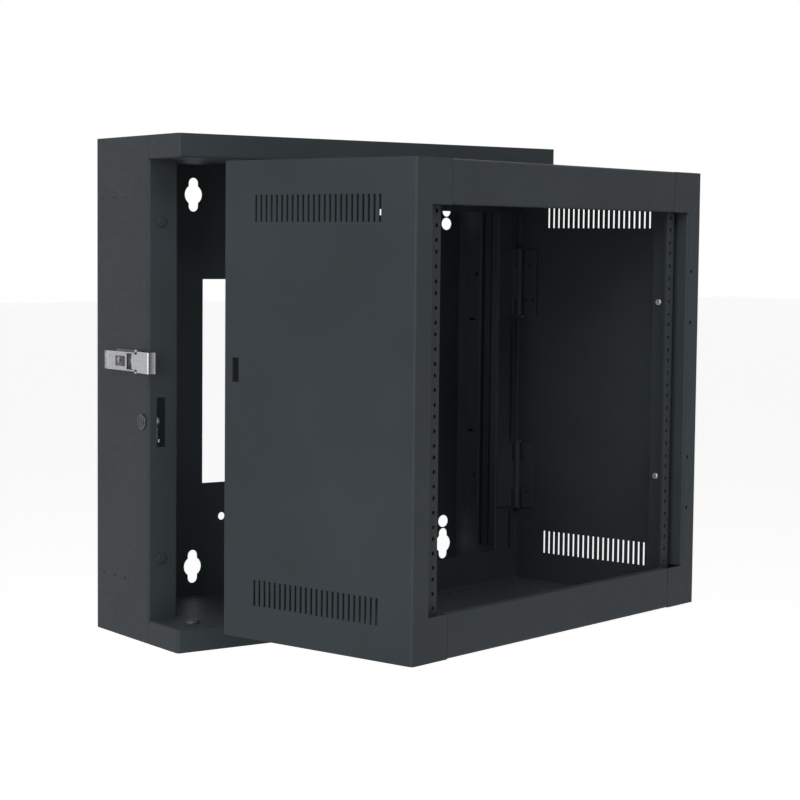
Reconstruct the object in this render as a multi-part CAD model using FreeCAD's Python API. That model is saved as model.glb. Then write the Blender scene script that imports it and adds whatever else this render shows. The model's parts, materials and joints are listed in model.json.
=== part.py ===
"""Wall mount rack: a pan fixed to the wall and a hinged section that carries the rack rails.

The frame has X to the right, Y into the wall and Z up, with the wall face at Y = 0.
The section is drawn closed against the pan and then swung to the opening it rests at.
"""
import FreeCAD, Part
import math
import os

# Driving dimensions, in millimetres and degrees

# Pan fixed to the wall
pan_width = 564.0
pan_height = 612.0
pan_depth = 133.5
sheet = 1.5
bend_radius = 1.5
flange_width_left = 40.0
flange_width_right = 35.0
flange_return = 12.0

# Hoods that reach forward over and under the section
tray_depth = 206.0
tray_lip = 28.6
tray_rim = 10.0
tray_corner_radius = 4.0
seam = 0.6

# Openings in the rear panel
cable_cutout = 264.0
keyhole_head_radius = 12.7
keyhole_slot_radius = 7.0
keyhole_length = 43.0
keyhole_row = 240.0
keyhole_inset = 24.5
keyhole_stud_spacing = 403.5
lag_hole_radius = 8.5
lag_hole_row = 208.5
bonding_hole_radius = 5.0
bonding_hole_column = 103.0
bonding_hole_row = 177.0

# Clinch marks in the left wall
clinch_length = 9.0
clinch_width = 2.6
clinch_depth = 0.6
clinch_row = 233.0
clinch_setbacks = (20.0, 48.0, 76.0)

# Lacing bar on the right wall
lacing_length = 470.0
lacing_setback = 34.5
lacing_face = 29.0
lacing_stand = 10.0
lacing_foot = 12.0
lacing_hole_radius = 2.6
lacing_hole_setback = 20.0
lacing_hole_row = 139.0
lacing_slot_length = 12.0
lacing_slot_width = 3.0
lacing_slot_setback = 11.0
lacing_slot_row = 77.0

# Swinging section
tray_clearance = 5.4
section_gap = 3.4
section_depth = 283.0
unit_height = 44.45
rack_units = 10
front_band = 28.4
corner_ear = 60.0
band_return = 20.0
lintel_return = 10.0
rear_flange_left = 30.0
rear_flange_right = 12.0
rear_band_top = 49.5
rear_band_bottom = 42.5
rest_opening = 15.0

# Vent slots in the section sides
vent_slot_width = 3.2
vent_slot_height = 30.0
vent_pitch = 7.94
vent_count = 24
vent_setback = 48.0
vent_row = 218.0

# Rack rails
rail_hole_inset = 49.44
rail_edge = 7.14
rail_hole_radius = 2.4
rail_hole_pitch = 15.875
rail_gauge = 3.0
rail_setback = 12.7
rail_face = 19.1
rail_leg = 30.0
rail_overlap = 8.0
rail_bolt_row = 110.0
rail_bolt_setback = 20.5
bracket_gauge = 2.0
bracket_height = 32.0
bracket_foot = 24.0
bracket_lap = 11.0
screw_radius = 2.4
screw_head_radius = 4.4
screw_head_height = 2.8
screw_bevel = 1.3
screw_grip = 4.0
door_hole_radius = 2.4
door_hole_inset = 19.5
door_hole_rows = (85.0, 149.0)

# Hinges
hinge_inset = 6.0
hinge_setback = 6.0
hinge_row = 130.0
hinge_height = 88.0
hinge_knuckle = 40.0
hinge_gauge = 2.0
hinge_pin_radius = 2.45
hinge_running_fit = 0.05
hinge_axial_gap = 0.4
hinge_leaf_width = 26.0
hinge_leaf_gap = 0.8
hinge_fixed_width = 24.0
hinge_pin_head_radius = 4.0
hinge_pin_head_height = 2.5
hinge_pin_bevel = 1.0
hinge_edge_clearance = 2.0
hinge_hole_radius = 2.6
hinge_hole_offset = 23.0
hinge_hole_pitch = 11.0
hinge_slot_length = 9.0

# Rubber stops and support glide
bumper_radius = 6.0
bumper_clearance = 0.4
bumper_stem_radius = 2.6
bumper_inset = 17.0
bumper_row = 203.0
glide_radius = 9.0
glide_clearance = 0.4
glide_stem_radius = 3.0
glide_inset = 36.0
glide_setback = 29.0
stop_bevel = 1.2
barb_step = 1.2
barb_length = 1.6

# Draw latch on the left wall
latch_row = 35.0
latch_width = 26.5
latch_gauge = 1.5
latch_base_length = 66.0
latch_base_nose = 8.0
latch_pivot_setback = 21.5
latch_pivot_height = 5.2
latch_ear_radius = 3.6
latch_stud_radius = 1.6
latch_stud_head = 0.9
latch_running_fit = 0.05
latch_side_gap = 0.4
latch_throw = 5.0
latch_lever_length = 62.0
latch_lever_skin = 2.8
latch_lever_drop = 2.4
latch_lever_boss = 3.2
latch_lever_cutback = 9.5
latch_window_length = 21.0
latch_window_width = 12.5
latch_window_setback = 22.5
latch_grip_radius = 1.8
latch_claw_pin_radius = 1.5
latch_claw_strap = 1.6
latch_claw_shoulder = 9.0
latch_claw_bite = 0.5
latch_claw_clearance = 0.5
latch_rest_angle = 5.0
latch_claw_lift = 3.0
latch_rivet_radius = 2.0
latch_rivet_head_radius = 3.4
latch_rivet_inset = 7.0
latch_rivet_setback = 17.0
latch_rivet_head = 1.2
latch_rivet_bevel = 0.7
keeper_slot_width = 10.5
keeper_slot_height = 28.0
keeper_setback = 12.9

# Key lock in the left wall
lock_row = -37.5
lock_setback = 15.5
lock_barrel_radius = 8.0
lock_barrel_depth = 14.0
lock_wall_fit = 0.1
lock_head_radius = 9.8
lock_head_height = 2.0
lock_edge_bevel = 0.9
lock_plug_radius = 6.0
lock_running_fit = 0.05
lock_plug_step = 2.0
lock_spindle_radius = 4.0
lock_screw_overlap = 1.0
lock_cam_gauge = 2.5
lock_cam_hub = 7.0
lock_cam_width = 8.0
lock_cam_reach = 25.0
lock_cam_barb = 5.5
lock_cam_barb_depth = 4.0
lock_nut_flats = 22.0
lock_nut_height = 4.0
lock_keyway_length = 7.0
lock_keyway_width = 1.4
lock_keyway_depth = 2.5
lock_slot_width = 12.0
lock_slot_height = 60.0
strike_slot_top = 5.5
strike_slot_height = 34.0

# Places worked out from the sizes above
fold_land = 2 * (bend_radius + sheet)
half_width = pan_width / 2
rail_column = half_width - rail_hole_inset
keyhole_outer_column = half_width - keyhole_inset
keyhole_inner_column = keyhole_stud_spacing - keyhole_outer_column
half_height = pan_height / 2
wall_inner = half_width - sheet
tray_inner = half_height - tray_lip
section_half_height = tray_inner - tray_clearance
section_rear = -(pan_depth + section_gap)
section_front = section_rear - section_depth
opening_half_height = unit_height * rack_units / 2
opening_half_width = half_width - front_band
hinge_x = half_width - hinge_inset
hinge_y = section_rear - hinge_setback
hinge_bore = hinge_pin_radius + hinge_running_fit
hinge_barrel = hinge_bore + hinge_gauge
latch_x = -half_width - latch_pivot_height
latch_y = -pan_depth + latch_pivot_setback
lock_y = -pan_depth + lock_setback
cam_inner = -half_width + lock_barrel_depth + lock_plug_step
cam_x = cam_inner + lock_cam_gauge / 2
keeper_y = section_rear - keeper_setback

LEFT = -1
RIGHT = 1
SIDES = (LEFT, RIGHT)


def vec(x, y, z):
    """Return a point or a direction."""
    return FreeCAD.Vector(x, y, z)


ORIGIN = vec(0, 0, 0)
AXIS_X = vec(1, 0, 0)
AXIS_Y = vec(0, 1, 0)
AXIS_Z = vec(0, 0, 1)


def block(low, high):
    """Return a box between two opposite corners given in any order."""
    corner = [min(a, b) for a, b in zip(low, high)]
    size = [abs(b - a) for a, b in zip(low, high)]
    return Part.makeBox(size[0], size[1], size[2], vec(*corner))


def rod(radius, start, end):
    """Return a cylinder between the centres of its two end faces."""
    span = vec(*end) - vec(*start)
    return Part.makeCylinder(radius, span.Length, vec(*start), span)


def capped_rod(radius, start, end, bevel):
    """Return a cylinder whose far end has a bevelled rim."""
    body = rod(radius, start, end)
    tip = vec(*end)
    rim = [e for e in body.Edges if e.isClosed() and (e.CenterOfMass - tip).Length < bevel / 2]
    return body.makeChamfer(bevel, rim)


def strip_side(path, offset, radius):
    """Return the edges of one side of a folded strip, with an arc at each fold."""
    points = [vec(x, y, 0) for x, y in path]
    runs = [(b - a).normalize() for a, b in zip(points, points[1:])]
    normals = [vec(-d.y, d.x, 0) for d in runs]
    edges = []
    here = points[0] + normals[0] * offset
    for i in range(1, len(points) - 1):
        turn = math.atan2(runs[i - 1].cross(runs[i]).z, runs[i - 1].dot(runs[i]))
        way = math.copysign(1.0, turn)
        setback = radius * math.tan(abs(turn) / 2)
        centre = points[i] - runs[i - 1] * setback + normals[i - 1] * (way * radius)
        reach = radius - way * offset
        bend_in = points[i] - runs[i - 1] * setback + normals[i - 1] * offset
        bend_out = points[i] + runs[i] * setback + normals[i] * offset
        crown = centre + (points[i] - centre).normalize() * reach
        edges.append(Part.LineSegment(here, bend_in).toShape())
        edges.append(Part.Arc(bend_in, crown, bend_out).toShape())
        here = bend_out
    last = points[-1] + normals[-1] * offset
    edges.append(Part.LineSegment(here, last).toShape())
    return edges, points[0] + normals[0] * offset, last


def folded(path, gauge, low, high):
    """Return a sheet folded along a centre line in plan and extruded from low to high."""
    radius = bend_radius + gauge / 2
    near, near_start, near_end = strip_side(path, gauge / 2, radius)
    far, far_start, far_end = strip_side(path, -gauge / 2, radius)
    caps = [Part.LineSegment(a, b).toShape() for a, b in ((near_start, far_start), (near_end, far_end))]
    outline = Part.Wire(Part.__sortEdges__(near + far + caps))
    sheet_solid = Part.Face(outline).extrude(vec(0, 0, high - low))
    return sheet_solid.translated(vec(0, 0, low))


def folded_across(path, gauge, low, high):
    """Return a sheet folded along a centre line in side view (Y, Z) and extruded along X."""
    return folded(path, gauge, low, high).rotated(ORIGIN, vec(1, 1, 1), 120)


def slot_y(length, width, centre, depth):
    """Return a cutter for a round-ended slot that runs along Y and goes through along X."""
    x, y, z = centre
    half = (length - width) / 2
    tools = [block((x - depth, y - half, z - width / 2), (x + depth, y + half, z + width / 2))]
    for end in (y - half, y + half):
        tools.append(rod(width / 2, (x - depth, end, z), (x + depth, end, z)))
    return tools


def mirrored(shape):
    """Return the shape reflected from the left side to the right side."""
    return shape.mirror(ORIGIN, AXIS_X)


def flipped(shape):
    """Return the shape reflected from the top to the bottom."""
    return shape.mirror(ORIGIN, AXIS_Z)


def swung(shape):
    """Return a piece of the section turned from closed to the opening it rests at."""
    return shape.rotated(vec(hinge_x, hinge_y, 0), AXIS_Z, rest_opening)


def keyhole(x, z):
    """Return cutters for a keyhole with a slot both above and below its round head."""
    front = -2 * sheet
    half = keyhole_length / 2 - keyhole_slot_radius
    tools = [rod(keyhole_head_radius, (x, front, z), (x, sheet, z))]
    low = (x - keyhole_slot_radius, front, z - half)
    tools.append(block(low, (x + keyhole_slot_radius, sheet, z + half)))
    for end in (z - half, z + half):
        tools.append(rod(keyhole_slot_radius, (x, front, end), (x, sheet, end)))
    return tools


def panel_hole(radius, x, z):
    """Return a cutter for a round hole through the rear panel."""
    return rod(radius, (x, -2 * sheet, z), (x, sheet, z))


def rear_panel():
    """Return the back sheet with its wall holes, cable cut-out and bonding hole."""
    plate = block((-wall_inner, -sheet, -half_height), (wall_inner, 0, half_height))
    half = cable_cutout / 2
    tools = [block((-half, -2 * sheet, -half), (half, sheet, half))]
    tools.append(panel_hole(bonding_hole_radius, -bonding_hole_column, -bonding_hole_row))
    for side in SIDES:
        for end in SIDES:
            tools += keyhole(side * keyhole_inner_column, end * keyhole_row)
            tools += keyhole(side * keyhole_outer_column, end * keyhole_row)
            tools.append(panel_hole(lag_hole_radius, side * keyhole_outer_column, end * lag_hole_row))
    return plate.cut(tools)


def side_wall_blank(flange_width):
    """Return a left side wall with its front flange and return."""
    wall = -half_width + sheet / 2
    front = -pan_depth + sheet / 2
    inner = -half_width + flange_width - sheet / 2
    path = [(wall, 0), (wall, front), (inner, front), (inner, front + flange_return)]
    body = folded(path, sheet, -tray_inner, tray_inner)
    for end in SIDES:
        cheek = block((-half_width, -pan_depth, end * tray_inner), (-wall_inner, 0, end * half_height))
        body = body.fuse(cheek)
    return body.removeSplitter()


def bumper_places():
    """Return the centres of the rubber stops on the left flange."""
    return [(-half_width + bumper_inset, -pan_depth, end * bumper_row) for end in SIDES]


def left_side_wall():
    """Return the left wall with its lock hole, cam slot, clinch marks and holes for stops and rivets."""
    half_slot = lock_slot_height / 2
    hole = lock_barrel_radius + lock_wall_fit
    tools = [rod(hole, lock_point(-half_width - sheet), lock_point(-wall_inner + sheet))]
    low = (cam_x - lock_slot_width / 2, -pan_depth - sheet, lock_row - half_slot)
    high = (cam_x + lock_slot_width / 2, -pan_depth + 2 * sheet, lock_row + half_slot)
    tools.append(block(low, high))
    for x, y, z in bumper_places():
        tools.append(rod(bumper_stem_radius, (x, y - sheet, z), (x, y + 2 * sheet, z)))
    for y in latch_rivet_places():
        start = (-half_width - sheet, y, latch_row)
        tools.append(rod(latch_rivet_radius, start, (-wall_inner + sheet, y, latch_row)))
    for end in SIDES:
        for setback in clinch_setbacks:
            place = (-half_width, -setback, end * clinch_row)
            tools += slot_y(clinch_length, clinch_width, place, clinch_depth)
    return side_wall_blank(flange_width_left).cut(tools)


def right_side_wall():
    """Return the right wall, which has no holes."""
    return mirrored(side_wall_blank(flange_width_right))


def lacing_bar():
    """Return the hat-section bar on the right wall that cables are tied to."""
    foot_x = wall_inner - sheet / 2
    face_x = wall_inner - lacing_stand + sheet / 2
    rear = -lacing_setback
    front = rear - lacing_face
    path = [(foot_x, rear + lacing_foot), (foot_x, rear), (face_x, rear)]
    path += [(face_x, front), (foot_x, front), (foot_x, front - lacing_foot)]
    half = lacing_length / 2
    tools = []
    for end in SIDES:
        hole_y, hole_z = rear - lacing_hole_setback, end * lacing_hole_row
        tools.append(rod(lacing_hole_radius, (face_x - sheet, hole_y, hole_z), (face_x + sheet, hole_y, hole_z)))
        place = (face_x, rear - lacing_slot_setback, end * lacing_slot_row)
        tools += slot_y(lacing_slot_length, lacing_slot_width, place, sheet)
    return folded(path, sheet, -half, half).cut(tools)


def round_front(inset, rear, low, high):
    """Return a block of a hood's plan, inset from its outside, with rounded front corners and foot."""
    x = half_width - inset
    front = -tray_depth + inset
    radius = max(tray_corner_radius - inset, sheet)
    slant = radius * (1 - math.sqrt(0.5))
    curves = [Part.LineSegment(vec(x, rear, 0), vec(-x, rear, 0))]
    curves.append(Part.LineSegment(vec(-x + radius, front, 0), vec(x - radius, front, 0)))
    for side in SIDES:
        end = vec(side * x, front + radius, 0)
        crown = vec(side * (x - slant), front + slant, 0)
        curves.append(Part.LineSegment(vec(side * x, rear, 0), end))
        curves.append(Part.Arc(end, crown, vec(side * (x - radius), front, 0)))
    face = Part.Face(Part.Wire(Part.__sortEdges__([curve.toShape() for curve in curves])))
    body = face.extrude(vec(0, 0, high - low)).translated(vec(0, 0, low))
    bend = bend_radius + sheet - inset
    if bend <= 0:
        return body
    foot = [e for e in body.Edges if e.BoundBox.ZMax < low + bend / 2 and e.BoundBox.YMin < rear - bend]
    return body.makeFillet(bend, foot)


def top_tray():
    """Return the upper hood: a panel with an upturned lip at its front and ends."""
    rear = -pan_depth - seam
    shell = round_front(0, rear, tray_inner, half_height)
    hollow = round_front(sheet, rear + sheet, tray_inner + sheet, half_height - sheet)
    mouth = round_front(tray_rim, rear + sheet, tray_inner + sheet, half_height + sheet)
    panel = block((-wall_inner, rear, tray_inner), (wall_inner, -sheet, tray_inner + sheet))
    return shell.cut([hollow, mouth]).fuse(panel).removeSplitter()


def glide_place():
    """Return the centre of the support glide on the bottom tray."""
    return (-half_width + glide_inset, -tray_depth + glide_setback, -tray_inner)


def bottom_tray():
    """Return the lower hood with the hole that takes the glide."""
    x, y, z = glide_place()
    return flipped(top_tray()).cut(rod(glide_stem_radius, (x, y, z + sheet), (x, y, z - 2 * sheet)))


def push_in_stop(radius, height, stem, base, axis):
    """Return a push-in button: round head, stem through the sheet and a barb behind it."""
    foot = vec(*base)
    head = capped_rod(radius, base, tuple(foot + axis * height), stop_bevel)
    neck = foot - axis * sheet
    barb_end = neck - axis * barb_length
    shank = rod(stem, base, tuple(neck))
    barb = rod(stem + barb_step, tuple(neck), tuple(barb_end))
    return head.fuse([shank, barb])


def bumpers():
    """Return the two rubber stops that the section closes against."""
    height = section_gap - bumper_clearance
    stem = bumper_stem_radius
    stops = [push_in_stop(bumper_radius, height, stem, place, -AXIS_Y) for place in bumper_places()]
    return Part.makeCompound(stops)


def glide():
    """Return the button that carries the closed section's free side."""
    height = tray_clearance - glide_clearance
    return push_in_stop(glide_radius, height, glide_stem_radius, glide_place(), AXIS_Z)


def latch_rivet_places():
    """Return the Y places of the rivets that hold the latch base to the wall."""
    rear = latch_y + latch_base_length - latch_base_nose
    return (rear - latch_rivet_inset, latch_y + latch_rivet_setback)


def latch_base():
    """Return the latch's plate with the two ears that carry the lever."""
    half = latch_width / 2
    outer = -half_width - latch_gauge
    low = (outer, latch_y - latch_base_nose, latch_row - half)
    base = block(low, (-half_width, latch_y - latch_base_nose + latch_base_length, latch_row + half))
    holes = []
    for end in SIDES:
        near = latch_row + end * (half - latch_gauge)
        far = latch_row + end * half
        ear = block((latch_x, latch_y - latch_ear_radius, near), (outer, latch_y + latch_ear_radius, far))
        base = base.fuse([ear, rod(latch_ear_radius, (latch_x, latch_y, near), (latch_x, latch_y, far))])
        holes.append(rod(latch_stud_radius, (latch_x, latch_y, near), (latch_x, latch_y, far)))
    for y in latch_rivet_places():
        holes.append(rod(latch_rivet_radius, (outer, y, latch_row), (-half_width, y, latch_row)))
    return base.cut(holes).removeSplitter()


def latch_pivot_studs():
    """Return the two stub pins that join the lever's cheeks to the base's ears."""
    half = latch_width / 2
    studs = []
    for end in SIDES:
        tip = latch_row + end * (half - 2 * latch_gauge - latch_side_gap)
        face = latch_row + end * half
        crown = latch_row + end * (half + latch_stud_head)
        shank = rod(latch_stud_radius, (latch_x, latch_y, tip), (latch_x, latch_y, face))
        head = rod(latch_stud_radius + latch_stud_head, (latch_x, latch_y, face), (latch_x, latch_y, crown))
        studs.append(shank.fuse(head))
    return Part.makeCompound(studs)


def latch_rivets():
    """Return the rivets that hold the latch base to the wall."""
    rivets = []
    for y in latch_rivet_places():
        seat = -half_width - latch_gauge
        crown = seat - latch_rivet_head
        tail = -wall_inner + latch_rivet_head
        top = (crown, y, latch_row)
        head = capped_rod(latch_rivet_head_radius, (seat, y, latch_row), top, latch_rivet_bevel)
        shank = rod(latch_rivet_radius, (seat, y, latch_row), (-wall_inner, y, latch_row))
        upset = rod(latch_rivet_head_radius, (-wall_inner, y, latch_row), (tail, y, latch_row))
        rivets.append(head.fuse([shank, upset]))
    return Part.makeCompound(rivets)


def claw_pin_y():
    """Return the Y place of the claw's pin with the lever shut."""
    return latch_y + latch_throw


def lever_turned(shape):
    """Return a piece of the lever turned from shut to the angle it rests at."""
    return shape.rotated(vec(latch_x, latch_y, 0), AXIS_Z, latch_rest_angle)


def cheek_outer():
    """Return the half width of the lever over its cheeks."""
    return latch_width / 2 - latch_gauge - latch_side_gap


def latch_lever():
    """Return the lever: a windowed skin with two cheeks and a rounded grip."""
    wide = cheek_outer()
    tip = latch_y + latch_lever_length
    inner = latch_x - latch_lever_skin
    outer = inner - latch_gauge
    skin_front = claw_pin_y() + latch_lever_cutback
    skin = block((outer, skin_front, latch_row - wide), (inner, tip, latch_row + wide))
    parts = [rod(latch_grip_radius, (outer, tip, latch_row - wide), (outer, tip, latch_row + wide))]
    holes = []
    for end in SIDES:
        near = latch_row + end * (wide - latch_gauge)
        far = latch_row + end * wide
        parts.append(block((outer, latch_y, near), (latch_x + latch_lever_drop, tip, far)))
        parts.append(rod(latch_lever_boss, (latch_x, latch_y, near), (latch_x, latch_y, far)))
        pivot = latch_stud_radius + latch_running_fit
        holes.append(rod(pivot, (latch_x, latch_y, near), (latch_x, latch_y, far)))
        holes.append(rod(latch_claw_pin_radius, (latch_x, claw_pin_y(), near), (latch_x, claw_pin_y(), far)))
    window_end = tip - latch_window_setback
    window_half = latch_window_width / 2
    low = (outer - sheet, window_end - latch_window_length, latch_row - window_half)
    holes.append(block(low, (inner + sheet, window_end, latch_row + window_half)))
    return lever_turned(skin.fuse(parts).cut(holes).removeSplitter())


def latch_claw_pin():
    """Return the pin between the lever's cheeks that the claw hangs on."""
    wide = cheek_outer()
    y = claw_pin_y()
    pin = rod(latch_claw_pin_radius, (latch_x, y, latch_row - wide), (latch_x, y, latch_row + wide))
    return lever_turned(pin)


def latch_claw():
    """Return the claw: an eye on its pin, a strap past the pivot and a wide turned-in lip."""
    narrow = cheek_outer() - latch_gauge - 2 * latch_side_gap
    wide = latch_width / 2 - latch_side_gap
    y = claw_pin_y()
    skin_in = latch_x - latch_claw_strap
    skin_out = skin_in - latch_gauge
    shoulder = latch_y - latch_claw_shoulder
    lip_rear = keeper_y - latch_claw_bite
    lip_front = lip_rear - latch_gauge
    lip_end = -half_width + sheet + latch_claw_clearance
    eye_radius = latch_claw_strap + latch_gauge
    eye = rod(eye_radius, (latch_x, y, latch_row - narrow), (latch_x, y, latch_row + narrow))
    strap = block((skin_out, shoulder, latch_row - narrow), (skin_in, y, latch_row + narrow))
    head = block((skin_out, lip_front, latch_row - wide), (skin_in, shoulder, latch_row + wide))
    lip = block((skin_out, lip_front, latch_row - wide), (lip_end, lip_rear, latch_row + wide))
    bore = latch_claw_pin_radius + latch_running_fit
    hole = rod(bore, (latch_x, y, latch_row - narrow), (latch_x, y, latch_row + narrow))
    claw = eye.fuse([strap, head, lip]).cut(hole).removeSplitter()
    lifted = claw.rotated(vec(latch_x, y, 0), AXIS_Z, -latch_claw_lift)
    angle = math.radians(latch_rest_angle)
    shift = vec(-latch_throw * math.sin(angle), latch_throw * (math.cos(angle) - 1), 0)
    return lifted.translated(shift)


def lock_point(x):
    """Return a point on the lock's axis."""
    return (x, lock_y, lock_row)


def lock_barrel():
    """Return the lock's housing, which goes through the left wall."""
    face = -half_width - lock_head_height
    inner_end = -half_width + lock_barrel_depth
    head = capped_rod(lock_head_radius, lock_point(-half_width), lock_point(face), lock_edge_bevel)
    body = rod(lock_barrel_radius, lock_point(-half_width), lock_point(inner_end))
    bore = rod(lock_plug_radius + lock_running_fit, lock_point(face), lock_point(inner_end))
    return head.fuse(body).cut(bore)


def lock_nut():
    """Return the hexagon nut behind the left wall."""
    start = -wall_inner
    corner = lock_nut_flats / math.sqrt(3)
    steps = [math.radians(60 * i) for i in range(7)]
    outline = [vec(start, lock_y + corner * math.cos(a), lock_row + corner * math.sin(a)) for a in steps]
    hexagon = Part.Face(Part.makePolygon(outline)).extrude(vec(lock_nut_height, 0, 0))
    return hexagon.cut(rod(lock_barrel_radius, lock_point(start), lock_point(start + lock_nut_height)))


def lock_plug():
    """Return the turning plug with its keyway and the spindle that drives the cam."""
    face = -half_width - lock_head_height
    plug = rod(lock_plug_radius, lock_point(face), lock_point(cam_inner))
    spindle = rod(lock_spindle_radius, lock_point(cam_inner), lock_point(cam_inner + lock_cam_gauge))
    low = (face, lock_y - lock_keyway_width / 2, lock_row - lock_keyway_length / 2)
    high = (face + lock_keyway_depth, lock_y + lock_keyway_width / 2, lock_row + lock_keyway_length / 2)
    thread = rod(screw_radius, lock_point(cam_inner - screw_grip), lock_point(cam_inner + lock_cam_gauge))
    return plug.fuse(spindle).cut([block(low, high), thread])


def lock_cam():
    """Return the hook-shaped cam, hanging down as it does unlocked."""
    outer = cam_inner + lock_cam_gauge
    half = lock_cam_width / 2
    tip = lock_row - lock_cam_reach
    hub = rod(lock_cam_hub, lock_point(cam_inner), lock_point(outer))
    arm = block((cam_inner, lock_y - half, tip), (outer, lock_y + half, lock_row))
    barb_front = lock_y - half - lock_cam_barb
    barb = block((cam_inner, barb_front, tip), (outer, lock_y, tip + lock_cam_barb_depth))
    hole = rod(lock_spindle_radius, lock_point(cam_inner), lock_point(outer))
    return hub.fuse([arm, barb]).cut(hole).removeSplitter()


def lock_cam_screw():
    """Return the screw that holds the cam on the plug."""
    seat = cam_inner + lock_cam_gauge
    head_radius = lock_spindle_radius + lock_screw_overlap
    head = capped_rod(head_radius, lock_point(seat), lock_point(seat + screw_head_height), screw_bevel)
    return head.fuse(rod(screw_radius, lock_point(cam_inner - screw_grip), lock_point(seat)))


def knuckle(low, high):
    """Return a rolled hinge knuckle about the hinge axis."""
    return rod(hinge_barrel, (hinge_x, hinge_y, low), (hinge_x, hinge_y, high))


def hinge_hole(low, high):
    """Return the bore along the hinge axis."""
    return rod(hinge_bore, (hinge_x, hinge_y, low), (hinge_x, hinge_y, high))


def hinge_fixed_leaf(row):
    """Return the leaf on the pan's flange, with a knuckle at its top and bottom ends."""
    half = hinge_height / 2
    arm_x = hinge_x - hinge_barrel + hinge_gauge / 2
    plate_y = -pan_depth - hinge_gauge / 2
    start = arm_x - hinge_fixed_width
    leaf = folded([(start, plate_y), (arm_x, plate_y), (arm_x, hinge_y)], hinge_gauge, row - half, row + half)
    middle = hinge_knuckle / 2
    front = hinge_y - 2 * hinge_barrel
    notch_low = (hinge_x - 2 * hinge_barrel, front, row - middle)
    notch_high = (hinge_x, -pan_depth - hinge_gauge, row + middle)
    ends = [knuckle(row - half, row - middle), knuckle(row + middle, row + half)]
    tools = [block(notch_low, notch_high), hinge_hole(row - half, row + half)]
    return leaf.fuse(ends).cut(tools).removeSplitter()


def hinge_moving_leaf(row):
    """Return the leaf on the section's right side, with one knuckle and its slot and holes."""
    half = hinge_height / 2
    middle = hinge_knuckle / 2 - hinge_axial_gap
    outer = half_width - sheet
    inner = outer - hinge_gauge
    start = hinge_y - hinge_barrel - hinge_leaf_gap
    front = hinge_y - hinge_leaf_width
    leaf = block((inner, front, row - half), (outer, start, row + half))
    tab = block((inner, start, row - middle), (outer, hinge_y, row + middle))
    away = math.copysign(1.0, row)
    mid_y = (start + front) / 2
    holes = [hinge_hole(row - half, row + half)]
    for step in SIDES:
        place = mid_y + step * hinge_hole_pitch / 2
        z = row - away * hinge_hole_offset
        holes.append(rod(hinge_hole_radius, (inner, place, z), (outer, place, z)))
    slot_place = ((inner + outer) / 2, mid_y, row + away * hinge_hole_offset)
    holes += slot_y(hinge_slot_length, 2 * hinge_hole_radius, slot_place, hinge_gauge)
    body = leaf.fuse([tab, knuckle(row - middle, row + middle)])
    return swung(body.cut(holes).removeSplitter())


def hinge_pin(row):
    """Return a hinge pin with its head on the upper knuckle."""
    half = hinge_height / 2
    head_top = row + half + hinge_pin_head_height
    shank = rod(hinge_pin_radius, (hinge_x, hinge_y, row - half), (hinge_x, hinge_y, row + half))
    low = (hinge_x, hinge_y, row + half)
    head = capped_rod(hinge_pin_head_radius, low, (hinge_x, hinge_y, head_top), hinge_pin_bevel)
    return shank.fuse(head)


def vent_cutters():
    """Return the cutters for the vent slots near the top and bottom of the left side."""
    tools = []
    for end in SIDES:
        middle = end * vent_row
        for number in range(vent_count):
            rear = section_rear - vent_setback - number * vent_pitch
            low = (-half_width - sheet, rear - vent_slot_width, middle - vent_slot_height / 2)
            tools.append(block(low, (-wall_inner + sheet, rear, middle + vent_slot_height / 2)))
    return tools


def section_side_blank(rear_flange):
    """Return a left side of the section: side, front band, corner ears, return and rear flange."""
    side = -half_width + sheet / 2
    front = section_front + sheet / 2
    rear = section_rear - sheet / 2
    edge = -opening_half_width
    path = [(edge, front), (side, front), (side, rear), (-half_width + rear_flange, rear)]
    body = folded(path, sheet, -section_half_height, section_half_height)
    lip_x = edge - sheet / 2
    lip = [(lip_x, section_front + band_return), (lip_x, front), (edge - fold_land, front)]
    parts = [folded(lip, sheet, -opening_half_height, opening_half_height)]
    trim_low = (edge, section_front - sheet, -opening_half_height)
    trim = block(trim_low, (edge - fold_land, front + sheet, opening_half_height))
    for end in SIDES:
        low = (edge, section_front, end * opening_half_height)
        high = (-half_width + corner_ear, section_front + sheet, end * section_half_height)
        parts.append(block(low, high))
    return body.cut(trim).fuse(parts).cut(vent_cutters()).removeSplitter()


def section_left_panel():
    """Return the section's left side with the latch keeper slot and the lock's strike slot."""
    half = keeper_slot_height / 2
    low = (-half_width - sheet, keeper_y - keeper_slot_width, latch_row - half)
    keeper = block(low, (-wall_inner + sheet, keeper_y, latch_row + half))
    top = lock_row + strike_slot_top
    strike_low = (cam_x - lock_slot_width / 2, section_rear - 2 * sheet, top - strike_slot_height)
    strike = block(strike_low, (cam_x + lock_slot_width / 2, section_rear + sheet, top))
    return swung(section_side_blank(rear_flange_left).cut([keeper, strike]))


def section_right_panel():
    """Return the section's right side with notches round the hinges and holes for a door."""
    tools = []
    half = hinge_height / 2 + hinge_edge_clearance
    for end in SIDES:
        row = end * hinge_row
        low = (half_width - 2 * rear_flange_right, hinge_y - hinge_edge_clearance, row - half)
        tools.append(block(low, (half_width + sheet, section_rear + sheet, row + half)))
        for height in door_hole_rows:
            x = half_width - door_hole_inset
            z = end * height
            start = (x, section_front - sheet, z)
            tools.append(rod(door_hole_radius, start, (x, section_front + 2 * sheet, z)))
    return swung(mirrored(section_side_blank(rear_flange_right)).cut(tools))


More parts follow.
